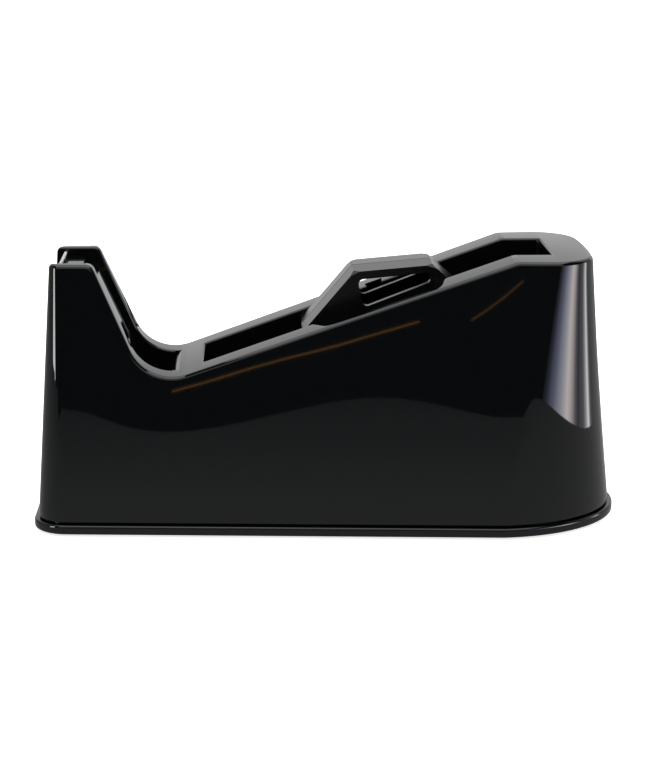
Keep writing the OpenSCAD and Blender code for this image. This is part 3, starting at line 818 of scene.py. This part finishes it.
def upright_card(name, start, end, z):
    """An upright rectangle that stands on the line from start to end, between two heights."""
    corners = [(*start, z[0]), (*end, z[0]), (*end, z[1]), (*start, z[1])]
    return new_mesh(name, corners, [(0, 1, 2, 3)])


def cloth_edge(x):
    """The near edge of the cloth. It lies in folds, so its distance is a cosine of x, and
    past x = 60 it turns the corner along a quarter of an ellipse."""
    folds = 430 + 70 * np.cos(2 * np.pi * (x + 15) / 200)
    corner = 380 * np.sqrt(np.clip(1 - ((x - 60) / 182) ** 2, 0, 1))
    return -np.where(x > 60, corner, folds)


def cloth(name):
    """The pale cloth under and round the dispenser, from its near edge to the sweep."""
    x = np.concatenate([np.linspace(-700, 200, 180), np.linspace(203, 242, 20)])
    near = np.column_stack([x, cloth_edge(x), np.full(len(x), -0.5)])
    far = np.column_stack([x, np.full(len(x), 600.0), np.full(len(x), -0.5)])
    return new_mesh(name, np.vstack([near, far]), grid_faces(2, len(x)))


def ribbon(name, start, end, width):
    """A thin upright strip from start to end, such as the lit edge of a shelf."""
    a, b, up = np.array(start, float), np.array(end, float), np.array([0, 0, width / 2])
    return new_mesh(name, [a - up, b - up, b + up, a + up], [(0, 1, 2, 3)])


floor_paint = finish_of(
    "white_floor_paint",
    {
        "Base Color": linear("#f4f4f4"),
        "Roughness": 0.9,
        "Emission Color": (1, 1, 1, 1),
        "Emission Strength": 0.75,
    },
)
WHITE = [(0, "#ffffff")]
amber = glow("amber_shelf_edge", 3.4, [(0, "#c8924a")])
right_fade = [(0, "#15161c"), (0.12, "#3d3e4a"), (0.3, "#7c8098"), (0.5, "#c6c8d4"), (0.65, "#fff6f2")]
right_fade += [(0.75, "#dcd2d0"), (0.9, "#706c72"), (1, "#4d4b50")]
strip_fade = [(0, "#545456"), (0.12, "#666668"), (0.3, "#fafafa"), (0.42, "#c0c0c2")]
strip_fade += [(0.62, "#6e6e72"), (1, "#504e54")]
cloth_fade = [(0, "#909090"), (0.2, "#b1b1b1"), (0.43, "#dddddd"), (1, "#ffffff")]
stage_card(level_card("floor", 0, (-9000, 9000), (-9000, 9000)), floor_paint, camera_sees=True)
stage_card(cloth("cloth"), glow("pale_cloth", 0.5, cloth_fade, "Y"))
# name, start and end on the floor, low and high edge, finish, strength, colours
UPRIGHT = [
    ("sweep", (-2500, 900), (2500, 900), (-20, 2200), "white_sweep", 0.78, WHITE),
    ("right_box", (367, -560), (679, -114), (-170, 240), "right_soft_box", 9.0, right_fade),
    ("right_strip", (685, -110), (647, 199), (-170, 240), "right_strip_light", 7.0, strip_fade),
    ("right_wall", (900, 240), (900, 1500), (-300, 700), "dim_right_wall", 0.4, WHITE),
    ("left_box", (-628, -290), (-540, -425), (-4, 300), "left_soft_box", 11.0, WHITE),
    ("left_wall", (-900, -500), (-900, 900), (-200, 900), "dim_left_wall", 0.25, WHITE),
    ("front_box", (-1300, -1500), (1300, -1500), (800, 2300), "front_soft_box", 0.9, WHITE),
]
for name, start, end, heights, finish, strength, colours in UPRIGHT:
    stage_card(upright_card(name, start, end, heights), glow(finish, strength, colours))
stage_card(ribbon("long_shelf_edge", (-161, -630, -5), (3, -630, 34.5), 1.0), amber)
stage_card(ribbon("short_shelf_edge", (37, -630, 34.5), (70, -630, 60), 0.8), amber)

# %% Lights


def soft_light(name, place_mm, aim_mm, size_mm, watts):
    """A rectangular soft box at a place, turned towards an aim."""
    light = bpy.data.lights.new(name, "AREA")
    light.shape, light.energy = "RECTANGLE", watts
    light.size, light.size_y = size_mm[0] * MM, size_mm[1] * MM
    lamp = bpy.data.objects.new(name, light)
    lamp.location = [v * MM for v in place_mm]
    way = unit(np.array(aim_mm) - np.array(place_mm))
    lamp.rotation_euler = (float(np.arccos(-way[2])), 0.0, float(np.arctan2(way[1], way[0]) - np.pi / 2))
    bpy.context.scene.collection.objects.link(lamp)
    return lamp


soft_light("top_box", (0, 0, 1400), (0, 0, 0), (1400, 1400), 14)
world = bpy.data.worlds.new("studio")
world.use_nodes = True
world.node_tree.nodes["Background"].inputs["Color"].default_value = (1, 1, 1, 1)
world.node_tree.nodes["Background"].inputs["Strength"].default_value = 1.0
bpy.context.scene.world = world
world.cycles_visibility.glossy = False
bpy.context.scene.view_settings.view_transform = "Standard"
